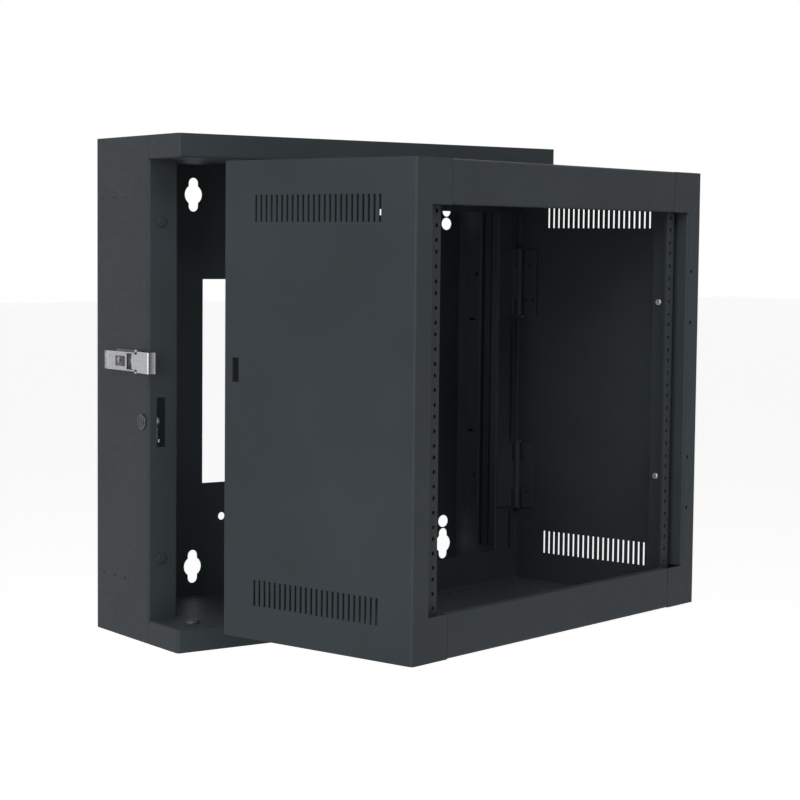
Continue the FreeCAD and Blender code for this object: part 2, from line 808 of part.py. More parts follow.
def section_top_closed(rear_band):
    """Return the section's closed top panel: a sheet with a rear band and a front band."""
    skin = section_half_height - sheet / 2
    rear = section_rear - 1.5 * sheet - bend_radius
    front = section_front + sheet / 2
    edge = opening_half_height + sheet / 2
    ear_line = half_width - corner_ear - seam
    plate_front = section_front + sheet + bend_radius
    rear_path = [(rear, section_half_height - rear_band), (rear, skin), (plate_front, skin)]
    plate = folded_across(rear_path, sheet, -wall_inner, wall_inner)
    band_start = front + fold_land
    band_path = [(band_start, skin), (front, skin), (front, edge), (front + lintel_return, edge)]
    band = folded_across(band_path, sheet, -ear_line, ear_line)
    return plate.fuse(band).removeSplitter()


def section_top_panel():
    """Return the section's top panel at its opening."""
    return swung(section_top_closed(rear_band_top))


def section_bottom_panel():
    """Return the section's bottom panel at its opening."""
    return swung(flipped(section_top_closed(rear_band_bottom)))


def rail_hole_heights():
    """Return the heights of the rail holes, three to each rack unit at universal spacing."""
    heights = []
    for unit in range(rack_units):
        middle = -opening_half_height + (unit + 0.5) * unit_height
        heights += [middle - rail_hole_pitch, middle, middle + rail_hole_pitch]
    return heights


def rail_left_closed():
    """Return the closed left rail: an angle with tapped holes in its face."""
    inner = -rail_column + rail_edge
    leg_x = inner - rail_face + rail_gauge / 2
    face_y = section_front + rail_setback + rail_gauge / 2
    leg_end = section_front + rail_setback + rail_leg
    half = opening_half_height + rail_overlap
    body = folded([(inner, face_y), (leg_x, face_y), (leg_x, leg_end)], rail_gauge, -half, half)
    tools = []
    for z in rail_hole_heights():
        x = -rail_column
        tools.append(rod(rail_hole_radius, (x, face_y - rail_gauge, z), (x, face_y + rail_gauge, z)))
    for end in SIDES:
        y, z = rail_bolt_y(), end * rail_bolt_row
        tools.append(rod(screw_radius, (leg_x - rail_gauge, y, z), (leg_x + rail_gauge, y, z)))
    return body.cut(tools)


def rail_bolt_y():
    """Return the Y place of the screws in the rail's leg."""
    return section_front + rail_setback + rail_bolt_setback


def rail_leg_outer():
    """Return the distance from the middle to the outer face of a rail's leg."""
    return rail_column - rail_edge + rail_face


def rail_bracket_closed(row):
    """Return a closed left bracket: a flange on the rail, a web and a foot on the section's side."""
    flange_x = -rail_leg_outer() - bracket_gauge / 2
    foot_x = -wall_inner + bracket_gauge / 2
    web_y = section_front + rail_setback + rail_leg + bracket_gauge
    flange_end = rail_bolt_y() - bracket_lap
    half = bracket_height / 2
    path = [(flange_x, flange_end), (flange_x, web_y), (foot_x, web_y), (foot_x, web_y + bracket_foot)]
    body = folded(path, bracket_gauge, row - half, row + half)
    y = rail_bolt_y()
    return body.cut(rod(screw_radius, (flange_x - bracket_gauge, y, row), (flange_x + bracket_gauge, y, row)))


def rail_screw_closed(row):
    """Return a closed left rail screw: a domed head inside the leg and a shank into the bracket."""
    seat = -rail_leg_outer() + rail_gauge
    y = rail_bolt_y()
    end = seat - rail_gauge - bracket_gauge - screw_grip
    head_end = (seat + screw_head_height, y, row)
    head = capped_rod(screw_head_radius, (seat, y, row), head_end, screw_bevel)
    return head.fuse(rod(screw_radius, (seat, y, row), (end, y, row)))


def rail_screws():
    """Return the screws that hold both rails to their brackets."""
    screws = []
    for end in SIDES:
        screw = rail_screw_closed(end * rail_bolt_row)
        screws += [swung(screw), swung(mirrored(screw))]
    return Part.makeCompound(screws)


def pan_nodes():
    """Return the pieces that stay on the wall."""
    nodes = {
        "rear_panel": rear_panel(),
        "left_side_wall": left_side_wall(),
        "right_side_wall": right_side_wall(),
        "lacing_bar": lacing_bar(),
        "top_tray": top_tray(),
        "bottom_tray": bottom_tray(),
        "bumpers": bumpers(),
        "glide": glide(),
        "latch_base": latch_base(),
        "latch_pivot_studs": latch_pivot_studs(),
        "latch_rivets": latch_rivets(),
        "lock_barrel": lock_barrel(),
        "lock_nut": lock_nut(),
    }
    for name, row in (("upper", hinge_row), ("lower", -hinge_row)):
        nodes["hinge_fixed_leaf_" + name] = hinge_fixed_leaf(row)
        nodes["hinge_pin_" + name] = hinge_pin(row)
    return nodes


def section_nodes():
    """Return the pieces of the swinging section at the opening it rests at."""
    rail = rail_left_closed()
    nodes = {
        "section_left_panel": section_left_panel(),
        "section_right_panel": section_right_panel(),
        "section_top_panel": section_top_panel(),
        "section_bottom_panel": section_bottom_panel(),
        "rail_left": swung(rail),
        "rail_right": swung(mirrored(rail)),
        "rail_screws": rail_screws(),
    }
    for name, row in (("upper", 1), ("lower", -1)):
        bracket = rail_bracket_closed(row * rail_bolt_row)
        nodes["rail_bracket_left_" + name] = swung(bracket)
        nodes["rail_bracket_right_" + name] = swung(mirrored(bracket))
        nodes["hinge_moving_leaf_" + name] = hinge_moving_leaf(row * hinge_row)
    return nodes


def latch_and_lock_nodes():
    """Return the moving pieces of the draw latch and the key lock."""
    return {
        "latch_lever": latch_lever(),
        "latch_claw_pin": latch_claw_pin(),
        "latch_claw": latch_claw(),
        "lock_plug": lock_plug(),
        "lock_cam": lock_cam(),
        "lock_cam_screw": lock_cam_screw(),
    }


def main():
    """Build every piece and write each one to its own file."""
    os.makedirs("parts", exist_ok=True)
    nodes = {**pan_nodes(), **section_nodes(), **latch_and_lock_nodes()}
    for name, shape in nodes.items():
        solids = shape.Solids
        valid = all(solid.isValid() for solid in solids)
        print(name, "solids", len(solids), "valid", valid, "volume", round(shape.Volume, 1))
        shape.exportStep("parts/" + name + ".step")


main()
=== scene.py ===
"""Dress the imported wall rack: coated sheet metal, rails, hinges, draw latch, key lock and a plain studio."""

import json
import logging
import math
from contextlib import contextmanager
from dataclasses import dataclass, field
from enum import Enum
from typing import Callable, ClassVar, Iterator, Sequence

import bmesh
import bpy
from mathutils import Matrix, Vector

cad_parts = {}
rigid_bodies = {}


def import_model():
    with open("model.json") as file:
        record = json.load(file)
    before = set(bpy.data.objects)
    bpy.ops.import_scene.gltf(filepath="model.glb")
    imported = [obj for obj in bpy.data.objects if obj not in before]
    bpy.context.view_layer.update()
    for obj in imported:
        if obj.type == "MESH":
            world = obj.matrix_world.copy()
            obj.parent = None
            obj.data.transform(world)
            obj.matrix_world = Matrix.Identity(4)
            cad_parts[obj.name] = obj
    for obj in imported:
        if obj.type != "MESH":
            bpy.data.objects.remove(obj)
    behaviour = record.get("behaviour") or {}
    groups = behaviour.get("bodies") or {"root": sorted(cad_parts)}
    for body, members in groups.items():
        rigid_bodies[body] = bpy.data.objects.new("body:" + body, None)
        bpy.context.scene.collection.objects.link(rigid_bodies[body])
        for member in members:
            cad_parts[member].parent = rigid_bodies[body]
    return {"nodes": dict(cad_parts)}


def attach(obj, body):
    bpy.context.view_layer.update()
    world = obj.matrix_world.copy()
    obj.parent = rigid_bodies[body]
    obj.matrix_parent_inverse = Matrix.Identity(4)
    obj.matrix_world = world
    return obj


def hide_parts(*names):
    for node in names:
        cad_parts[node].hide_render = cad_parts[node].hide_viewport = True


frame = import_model()

MM = 0.001
# Pattern values that count as fully dark and fully light
PATTERN_DARK, PATTERN_LIGHT = 0.3, 0.7
# Cosines above which a face or an edge lies along an axis, and below which it lies across
ALONG, ACROSS = 0.9, 0.1
# How close a place has to be to count, loosely and tightly, in millimetres
CLOSE, TIGHT = 0.1, 0.01
# How far a cutter reaches past the piece that it cuts, in millimetres
PAST = 1.0
# Turn in degrees above which an edge of a turned piece is eased
TURNED = 32.0
LOG = logging.getLogger("wall_rack")
Piece = bpy.types.Object
Socket = bpy.types.NodeSocket
Point = Sequence[float]
Place = tuple[float, float, float]
Colour = tuple[float, float, float]
Rgba = tuple[float, float, float, float]
Span = tuple[float, float]
Test = Callable[[Vector, Vector], bool]


class Body(Enum):
    """The bodies that pieces ride on."""

    PAN = "pan"
    SECTION = "section"
    HANDLE = "latch_handle"
    HOOK = "latch_hook"
    CORE = "lock_core"


class Slot(Enum):
    """The record's material slots."""

    PAN = "pan_paint"
    SECTION = "section_paint"
    RAIL = "rail_paint"
    HINGE = "hinge_paint"
    ZINC = "zinc_steel"
    LATCH = "latch_chrome"
    LOCK = "lock_metal"
    STOP = "stop_rubber"
    GLIDE = "glide_plastic"


class Ends(Enum):
    """The two ends that paired pieces repeat at."""

    LOW = -1
    HIGH = 1


class Graph:
    """One material's node graph on Object coordinates, built up a step at a time."""

    def __init__(self, name: str) -> None:
        """Start a material with its shader and its coordinates.

        Args:
            name: The material's name.
        """
        self.material = bpy.data.materials.new(name)
        self.material.use_nodes = True
        self.tree = self.material.node_tree
        self.shader = self.tree.nodes["Principled BSDF"]
        self.place = self.tree.nodes.new("ShaderNodeTexCoord").outputs["Object"]

    def constants(self, **values: float) -> None:
        """Set constants on the shader's own sockets, with underscores for spaces."""
        for name, value in values.items():
            self.shader.inputs[name.replace("_", " ")].default_value = value

    def link(self, source: Socket, target: Socket) -> None:
        """Join two sockets."""
        self.tree.links.new(source, target)

    def noise(self, scale: float, detail: float = 2.0, stretch: Point = (1, 1, 1)) -> Socket:
        """Add a noise pattern.

        Args:
            scale: Grains to the metre.
            detail: Octaves of finer grain.
            stretch: Scale along each axis, for brushed lines.

        Returns:
            The noise factor's socket.
        """
        mapping = self.tree.nodes.new("ShaderNodeMapping")
        mapping.inputs["Scale"].default_value = stretch
        self.link(self.place, mapping.inputs["Vector"])
        noise = self.tree.nodes.new("ShaderNodeTexNoise")
        noise.inputs["Scale"].default_value = scale
        noise.inputs["Detail"].default_value = detail
        self.link(mapping.outputs["Vector"], noise.inputs["Vector"])
        return noise.outputs["Fac"]

    def cells(self, scale: float) -> Socket:
        """Add a cell pattern, as in a plated crystal.

        Args:
            scale: Cells to the metre.

        Returns:
            The cell colour's socket.
        """
        cells = self.tree.nodes.new("ShaderNodeTexVoronoi")
        cells.inputs["Scale"].default_value = scale
        self.link(self.place, cells.inputs["Vector"])
        return cells.outputs["Color"]

    def rough(self, source: Socket, span: Span) -> None:
        """Vary the shader's roughness by a pattern.

        Args:
            source: The pattern.
            span: Roughness where the pattern is dark and where it is light.
        """
        ranged = self.tree.nodes.new("ShaderNodeMapRange")
        limits = (PATTERN_DARK, PATTERN_LIGHT, *span)
        for name, value in zip(("From Min", "From Max", "To Min", "To Max"), limits):
            ranged.inputs[name].default_value = value
        self.link(source, ranged.inputs["Value"])
        self.link(ranged.outputs["Result"], self.shader.inputs["Roughness"])

    def tint(self, source: Socket, dark: Point, light: Point) -> None:
        """Colour the shader between two tones by a pattern.

        Args:
            source: The pattern.
            dark: Colour where the pattern is dark.
            light: Colour where the pattern is light.
        """
        ramp = self.tree.nodes.new("ShaderNodeValToRGB")
        ramp.color_ramp.elements[0].position = PATTERN_DARK
        ramp.color_ramp.elements[1].position = PATTERN_LIGHT
        ramp.color_ramp.elements[0].color = (*dark, 1.0)
        ramp.color_ramp.elements[1].color = (*light, 1.0)
        self.link(source, ramp.inputs["Fac"])
        self.link(ramp.outputs["Color"], self.shader.inputs["Base Color"])

    def bump(self, layers: Sequence[tuple[Socket, float, float]]) -> None:
        """Stack bump layers on the shader's normal.

        Args:
            layers: For each layer its height pattern, strength and depth in millimetres.
        """
        normal = None
        for height, strength, depth in layers:
            bump = self.tree.nodes.new("ShaderNodeBump")
            bump.inputs["Strength"].default_value = strength
            bump.inputs["Distance"].default_value = depth * MM
            self.link(height, bump.inputs["Height"])
            if normal is not None:
                self.link(normal, bump.inputs["Normal"])
            normal = bump.outputs["Normal"]
        if normal is not None:
            self.link(normal, self.shader.inputs["Normal"])


@dataclass(frozen=True)
class PowderCoat:
    """Baked powder paint with a fine orange peel."""

    name: str
    colour: Colour
    variation: float = 0.1
    roughness: Span = (0.46, 0.58)
    peel: float = 0.16
    specular: float = 0.13
    cloud_scale: float = 7.0
    sheen_scale: float = 160.0
    peel_scale: float = 420.0
    peel_depth: float = 0.12
    fine_scale: float = 1900.0
    fine_depth: float = 0.04
    fine_share: float = 0.6

    def material(self) -> bpy.types.Material:
        """Make the paint.

        Returns:
            The material.
        """
        graph = Graph(self.name)
        graph.constants(Specular_IOR_Level=self.specular)
        dark = [c * (1 - self.variation) for c in self.colour]
        light = [c * (1 + self.variation) for c in self.colour]
        graph.tint(graph.noise(self.cloud_scale, detail=4.0), dark, light)
        graph.rough(graph.noise(self.sheen_scale, detail=3.0), self.roughness)
        graph.bump([
            (graph.noise(self.peel_scale), self.peel, self.peel_depth),
            (graph.noise(self.fine_scale, detail=1.0), self.peel * self.fine_share, self.fine_depth),
        ])
        return graph.material


@dataclass(frozen=True)
class PlatedSteel:
    """Plated steel with a crystal bloom and fine drawing lines."""

    name: str
    dark: Colour
    light: Colour
    roughness: Span
    lines: Point = (1.0, 1.0, 1.0)
    metal: float = 1.0
    crystal_scale: float = 900.0
    line_scale: float = 900.0
    line_strength: float = 0.12
    line_depth: float = 0.03

    def material(self) -> bpy.types.Material:
        """Make the plating.

        Returns:
            The material.
        """
        graph = Graph(self.name)
        graph.constants(Metallic=self.metal)
        graph.tint(graph.cells(self.crystal_scale), self.dark, self.light)
        brushed = graph.noise(self.line_scale, detail=3.0, stretch=self.lines)
        graph.rough(brushed, self.roughness)
        graph.bump([(brushed, self.line_strength, self.line_depth)])
        return graph.material


@dataclass(frozen=True)
class MouldedPolymer:
    """Rubber or plastic from a mould, with a fine grain."""

    name: str
    colour: Colour
    roughness: Span
    grain: float
    specular: float = 0.4
    shades: Span = (0.8, 1.2)
    shade_scale: float = 220.0
    sheen_scale: float = 600.0
    grain_scale: float = 2400.0
    grain_depth: float = 0.05

    def material(self) -> bpy.types.Material:
        """Make the polymer.

        Returns:
            The material.
        """
        graph = Graph(self.name)
        graph.constants(Specular_IOR_Level=self.specular)
        dark, light = ([c * shade for c in self.colour] for shade in self.shades)
        graph.tint(graph.noise(self.shade_scale, detail=3.0), dark, light)
        graph.rough(graph.noise(self.sheen_scale), self.roughness)
        graph.bump([(graph.noise(self.grain_scale), self.grain, self.grain_depth)])
        return graph.material


@dataclass
class Finishes:
    """Every finish on the rack, made once and shared."""

    made: dict[Slot, bpy.types.Material] = field(default_factory=dict)
    # A darker copy of the latch plating: painted shade for the base plate under the lever
    painted_shade_plating: bpy.types.Material | None = None

    def make(self) -> None:
        """Make the material of each slot, and a darker copy of the latch plating with painted shade."""
        charcoal = (0.0309, 0.0381, 0.0428)
        recipes = {
            Slot.PAN: PowderCoat("charcoal_coat_pan", charcoal),
            Slot.SECTION: PowderCoat("charcoal_coat_section", charcoal),
            Slot.RAIL: PowderCoat("black_coat_rail", (0.0255, 0.032, 0.0362), roughness=(0.42, 0.52)),
            Slot.HINGE: PowderCoat("charcoal_coat_hinge", (0.0335, 0.0413, 0.0464)),
            Slot.ZINC: PlatedSteel("dull_zinc", (0.34, 0.35, 0.365), (0.5, 0.51, 0.525), (0.36, 0.48)),
            Slot.LATCH: PlatedSteel(
                "polished_nickel", (0.37, 0.375, 0.382), (0.46, 0.462, 0.468), (0.12, 0.2), (1, 0.06, 1)
            ),
            Slot.LOCK: PlatedSteel(
                "dark_die_cast", (0.046, 0.049, 0.053), (0.084, 0.088, 0.094), (0.22, 0.34), metal=0.9
            ),
            Slot.STOP: MouldedPolymer("stop_rubber", (0.016, 0.016, 0.017), (0.7, 0.85), 0.25),
            Slot.GLIDE: MouldedPolymer("glide_nylon", (0.03, 0.032, 0.034), (0.4, 0.55), 0.12),
        }
        self.made = {slot: recipe.material() for slot, recipe in recipes.items()}
        # The latch plating again but darker, as painted shade for the latch's base plate
        self.painted_shade_plating = PlatedSteel("painted_shade_nickel", (0.1, 0.102, 0.115), (0.17, 0.172, 0.19), (0.3, 0.4)).material()


class Bench:
    """Modelling steps on one piece at a time, each by Blender's operators; sizes are in millimetres."""

    @staticmethod
    def only(piece: Piece) -> None:
        """Leave one piece selected and active, in object mode.

        Args:
            piece: The piece to leave selected.
        """
        if bpy.context.object is not None and bpy.context.object.mode != "OBJECT":
            bpy.ops.object.mode_set(mode="OBJECT")
        bpy.ops.object.select_all(action="DESELECT")
        piece.select_set(True)
        bpy.context.view_layer.objects.active = piece

    @staticmethod
    def settle(piece: Piece) -> Piece:
        """Move a piece's place, turn and scale into its mesh.

        Args:
            piece: The piece to settle.

        Returns:
            The same piece.
        """
        Bench.only(piece)
        bpy.ops.object.transform_apply(location=True, rotation=True, scale=True)
        return piece

    @staticmethod
    def slab(name: str, low: Point, high: Point) -> Piece:
        """Add a block between two corners.

        Args:
            name: The piece's name.
            low: Lowest corner.
            high: Highest corner.

        Returns:
            The new piece.
        """
        bpy.ops.object.select_all(action="DESELECT")
        middle = [(a + b) / 2 * MM for a, b in zip(low, high)]
        bpy.ops.mesh.primitive_cube_add(size=1.0, location=middle)
        piece = bpy.context.active_object
        piece.name = name
        piece.scale = [abs(b - a) * MM for a, b in zip(low, high)]
        return Bench.settle(piece)

    @staticmethod
    def bar(name: str, radius: float, start: Point, end: Point, sides: int = 32) -> Piece:
        """Add a round bar between the centres of its ends.

        Args:
            name: The piece's name.
            radius: The bar's radius.
            start: Centre of the first end.
            end: Centre of the second end.
            sides: Faces round the bar.

        Returns:
            The new piece.
        """
        bpy.ops.object.select_all(action="DESELECT")
        first, second = Vector(start) * MM, Vector(end) * MM
        span = second - first
        bpy.ops.mesh.primitive_cylinder_add(
            vertices=sides, radius=radius * MM, depth=span.length, location=(first + second) / 2
        )
        piece = bpy.context.active_object
        piece.name = name
        piece.rotation_euler = span.to_track_quat("Z", "Y").to_euler()
        return Bench.settle(piece)

    @staticmethod
    @contextmanager
    def editing(piece: Piece) -> Iterator[None]:
        """Hold a piece in edit mode with nothing selected.

        Args:
            piece: The piece to edit.

        Yields:
            Nothing; the mode lasts for the block.
        """
        Bench.only(piece)
        bpy.ops.object.mode_set(mode="EDIT")
        bpy.ops.mesh.select_all(action="DESELECT")
        yield
        bpy.ops.object.mode_set(mode="OBJECT")

    @staticmethod
    def pick(piece: Piece, mode: str, test: Test) -> None:
        """Select faces or edges of a piece in edit mode.

        Args:
            piece: The piece being edited.
            mode: What to select, FACE or EDGE.
            test: True for one to select, given its middle in millimetres and its normal or direction.
        """
        bpy.ops.mesh.select_mode(type=mode)
        bpy.ops.mesh.select_all(action="DESELECT")
        shape = bmesh.from_edit_mesh(piece.data)
        for part in shape.faces if mode == "FACE" else shape.edges:
            places = [v.co for v in part.verts]
            way = part.normal if mode == "FACE" else (places[1] - places[0]).normalized()
            if test(sum(places, Vector()) / len(places) / MM, way):
                part.select_set(True)
        shape.select_flush_mode()
        bmesh.update_edit_mesh(piece.data)

    @staticmethod
    def pick_faces(piece: Piece, test: Test) -> None:
        """Select the edited piece's faces by centre and normal."""
        Bench.pick(piece, "FACE", test)

    @staticmethod
    def pick_edges(piece: Piece, test: Test) -> None:
        """Select the edited piece's edges by middle and direction."""
        Bench.pick(piece, "EDGE", test)

    @staticmethod
    def cut(point: Point, normal: Point) -> None:
        """Cut the whole of the edited piece along a plane through a point."""
        bpy.ops.mesh.select_all(action="SELECT")
        bpy.ops.mesh.bisect(plane_co=Vector(point) * MM, plane_no=normal)

    @staticmethod
    def extrude(move: Point) -> None:
        """Extrude the selected faces by a move."""
        bpy.ops.mesh.extrude_region_move(TRANSFORM_OT_translate={"value": Vector(move) * MM})

    @staticmethod
    def inset(thickness: float) -> None:
        """Inset the selected faces by a thickness."""
        bpy.ops.mesh.inset(thickness=thickness * MM, use_even_offset=True)

    @staticmethod
    def chamfer(width: float, rise: float) -> None:
        """Inset each selected face by a width and raise it, which leaves a chamfer round it."""
        bpy.ops.mesh.inset(thickness=width * MM, depth=rise * MM, use_individual=True)

    @staticmethod
    def round_edges(width: float, segments: int) -> None:
        """Bevel the selected edges to a round of that width."""
        bpy.ops.mesh.bevel(offset=width * MM, segments=segments, profile=0.5, affect="EDGES")

    @staticmethod
    def grow(share: float) -> None:
        """Scale the selection of an upright piece across its axis."""
        bpy.ops.transform.resize(value=(share, share, 1.0))

    @staticmethod
    def step(share: float) -> None:
        """Widen or narrow the selected end of an upright piece in a flat step."""
        Bench.extrude((0, 0, 0))
        Bench.grow(share)

    @staticmethod
    def eased(piece: Piece, width: float, segments: int = 2, sharp: float = 35.0) -> Piece:
        """Ease a finished piece's sharp edges and smooth its rounds.

        Args:
            piece: The piece to finish.
            width: Width of the eased edge.
            segments: Faces across the eased edge.
            sharp: Edges that turn by more than this, in degrees, are eased.

        Returns:
            The same piece.
        """
        Bench.only(piece)
        bpy.ops.object.modifier_add(type="BEVEL")
        bevel = piece.modifiers[-1]
        bevel.width = width * MM
        bevel.segments = segments
        bevel.limit_method = "ANGLE"
        bevel.angle_limit = math.radians(sharp)
        bevel.use_clamp_overlap = True
        bpy.ops.object.modifier_apply(modifier=bevel.name)
        bpy.ops.object.shade_smooth_by_angle(angle=math.radians(sharp))
        bpy.ops.object.modifier_add(type="WEIGHTED_NORMAL")
        weighted = piece.modifiers[-1]
        weighted.weight = 100
        weighted.keep_sharp = True
        bpy.ops.object.modifier_apply(modifier=weighted.name)
        return piece

    @staticmethod
    def cored(piece: Piece, cutter: Piece) -> Piece:
        """Cut one piece out of another and drop the cutter.

        Args:
            piece: The piece to cut.
            cutter: The piece to take away.

        Returns:
            What is left of the first piece.
        """
        Bench.only(piece)
        bpy.ops.object.modifier_add(type="BOOLEAN")
        boolean = piece.modifiers[-1]
        boolean.operation = "DIFFERENCE"
        boolean.solver = "EXACT"
        boolean.use_self = True
        boolean.object = cutter
        bpy.ops.object.modifier_apply(modifier=boolean.name)
        bpy.data.objects.remove(cutter)
        return piece

    @staticmethod
    def joined(name: str, pieces: Sequence[Piece]) -> Piece:
        """Join pieces into one.

        Args:
            name: The joined piece's name.
            pieces: The pieces to join.

        Returns:
            The joined piece.
        """
        Bench.only(pieces[0])
        for piece in pieces:
            piece.select_set(True)
        bpy.ops.object.join()
        bpy.context.active_object.name = name
        return bpy.context.active_object

    @staticmethod
    def copy(piece: Piece, name: str, place: Matrix) -> Piece:
        """Copy a piece with a mesh of its own.

        Args:
            piece: The piece to copy.
            name: The copy's name.
            place: Where the copy goes, in metres.

        Returns:
            The copy, with its place in its mesh.
        """
        Bench.only(piece)
        bpy.ops.object.duplicate(linked=False)
        twin = bpy.context.active_object
        twin.name = name
        twin.matrix_world = place
        return Bench.settle(twin)

    @staticmethod
    def moved(piece: Piece, place: Matrix) -> Piece:
        """Move a piece by a matrix in metres and return it."""
        piece.matrix_world = place
        return Bench.settle(piece)


@dataclass(frozen=True)
class Swing:
    """A turn about an upright axis, given in millimetres and degrees."""

    x: float
    y: float
    angle: float

    def matrix(self) -> Matrix:
        """Work the turn out as a matrix.

        Returns:
            The matrix in metres.
        """
        centre = Vector((self.x, self.y, 0.0)) * MM
        turn = Matrix.Rotation(math.radians(self.angle), 4, "Z")
        return Matrix.Translation(centre) @ turn @ Matrix.Translation(-centre)


SECTION_SWING = Swing(276.0, -142.9, 15.0)


def aimed(foot: Point, axis: Point, turn: float = 0.0) -> Matrix:
    """Return the matrix that stands an upright piece on a foot, along an axis.

    Args:
        foot: Where the piece's own zero goes, in millimetres.
        axis: Where the piece's own up goes.
        turn: Turn about the piece's own axis, in degrees.

    Returns:
        The place in metres.
    """
    lean = Vector(axis).to_track_quat("Z", "Y").to_matrix().to_4x4()
    return Matrix.Translation(Vector(foot) * MM) @ lean @ Matrix.Rotation(math.radians(turn), 4, "Z")


@dataclass
class Assembly:
    """What every sub-assembly shares: its finishes and the way a piece is dressed."""

    WELD: ClassVar[float] = 0.004
    FLAT: ClassVar[float] = 0.4

    finishes: Finishes

    def dress(self, piece: Piece, body: Body, slot: Slot, *nodes: str) -> Piece:
        """Give a piece its finish, its body and the nodes it stands for.

        Args:
            piece: The finished piece.
            body: The body that it rides on.
            slot: The slot whose finish it takes.
            nodes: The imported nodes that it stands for.

        Returns:
            The same piece.
        """
        piece.data.materials.clear()
        piece.data.materials.append(self.finishes.made[slot])
        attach(piece, body.value)
        if nodes:
            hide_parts(*nodes)
        LOG.info("%s rides on %s in %s", piece.name, body.value, slot.value)
        return piece

    def sheet(self, node: str, body: Body, slot: Slot, edge: float = 0.3) -> Piece:
        """Dress a copy of a packed sheet piece with eased edges and smooth bends.

        Args:
            node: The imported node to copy.
            body: The body that it rides on.
            slot: The slot whose finish it takes.
            edge: Width of the eased edges in millimetres.

        Returns:
            The dressed copy.
        """
        Bench.only(frame["nodes"][node])
        bpy.ops.object.duplicate(linked=False)
        piece = bpy.context.active_object
        piece.name = node + "_finished"
        bpy.ops.object.parent_clear(type="CLEAR_KEEP_TRANSFORM")
        for key in list(piece.keys()):
            del piece[key]
        if piece.data.has_custom_normals:
            bpy.ops.mesh.customdata_custom_splitnormals_clear()
        with Bench.editing(piece):
            bpy.ops.mesh.select_all(action="SELECT")
            bpy.ops.mesh.remove_doubles(threshold=self.WELD * MM)
            bpy.ops.mesh.dissolve_limited(angle_limit=math.radians(self.FLAT))
        Bench.eased(piece, edge)
        return self.dress(piece, body, slot, node)


@dataclass(frozen=True)
class TurnedPiece:
    """A piece with a domed head on a shank, modelled upright with its seat at zero."""

    SIDES: ClassVar[int] = 36
    DOME: ClassVar[float] = 0.55
    EASE: ClassVar[float] = 0.12

    head_radius: float
    head_height: float
    shank_radius: float
    shank_length: float

    def model(self, name: str) -> Piece:
        """Model the piece at the origin.

        Args:
            name: The piece's name.

        Returns:
            The piece.
        """
        top = self.head_height
        piece = Bench.bar(name, self.head_radius, (0, 0, 0), (0, 0, top), self.SIDES)
        with Bench.editing(piece):
            Bench.pick_edges(piece, lambda p, d: p.z > top - TIGHT and abs(d.z) < ACROSS)
            Bench.round_edges(top * self.DOME, 5)
            Bench.pick_faces(piece, lambda p, n: p.z < TIGHT and n.z < -ALONG)
            Bench.inset(self.head_radius - self.shank_radius)
            self.shank()
        self.recess(piece)
        return Bench.eased(piece, self.EASE, sharp=TURNED)

    def shank(self) -> None:
        """Draw a plain shank out of the head's underside."""
        Bench.extrude((0, 0, -self.shank_length))

    def recess(self, piece: Piece) -> None:
        """Leave the head plain; a kind with a recess cuts it here."""


@dataclass(frozen=True)
class CrossHeadScrew(TurnedPiece):
    """A pan-head screw with a cross recess."""

    tip_shares: Span = (0.25, 0.3)
    recess_reach: float = 0.56
    recess_half: float = 0.13
    recess_depth: float = 0.62
    recess_taper: float = 0.45

    def shank(self) -> None:
        """Draw out the shank and narrow its tip."""
        super().shank()
        Bench.inset(self.shank_radius * self.tip_shares[0])
        Bench.extrude((0, 0, -self.shank_radius * self.tip_shares[1]))

    def recess(self, piece: Piece) -> None:
        """Cut the cross into the head.

        Args:
            piece: The screw.
        """
        arms = []
        top, depth = self.head_height, self.head_height * self.recess_depth
        reach, half = self.head_radius * self.recess_reach, self.head_radius * self.recess_half
        for number, (a, b) in enumerate(((reach, half), (half, reach))):
            arm = Bench.slab(f"recess_{number}", (-a, -b, top - depth), (a, b, top + PAST))
            with Bench.editing(arm):
                Bench.pick_faces(arm, lambda p, n: n.z < -ALONG)
                Bench.grow(self.recess_taper)
            arms.append(arm)
        Bench.cored(piece, Bench.joined("recess", arms))


@dataclass(frozen=True)
class DomedPin(TurnedPiece):
    """A pin or rivet with a narrow tip, or with a headed tail and collars."""

    DOME: ClassVar[float] = 0.82
    EASE: ClassVar[float] = 0.1

    tail_radius: float = 0.0
    tail_height: float = 0.0
    collars: tuple[float, ...] = ()
    collar_height: float = 0.36
    tail_taper: float = 0.8
    tip_taper: float = 0.75
    tip_share: float = 0.25

    def shank(self) -> None:
        """Draw out the shank with its collars, then its tail or tip."""
        grow = self.tail_radius / self.shank_radius
        done = 0.0
        for depth in self.collars:
            Bench.extrude((0, 0, done - depth))
            Bench.step(grow)
            Bench.extrude((0, 0, -self.collar_height))
            Bench.step(1 / grow)
            done = depth + self.collar_height
        Bench.extrude((0, 0, done - self.shank_length))
        if self.tail_radius:
            Bench.step(grow)
            Bench.extrude((0, 0, -self.tail_height))
            Bench.grow(self.tail_taper)
        else:
            Bench.extrude((0, 0, -self.shank_radius * self.tip_share))
            Bench.grow(self.tip_taper)


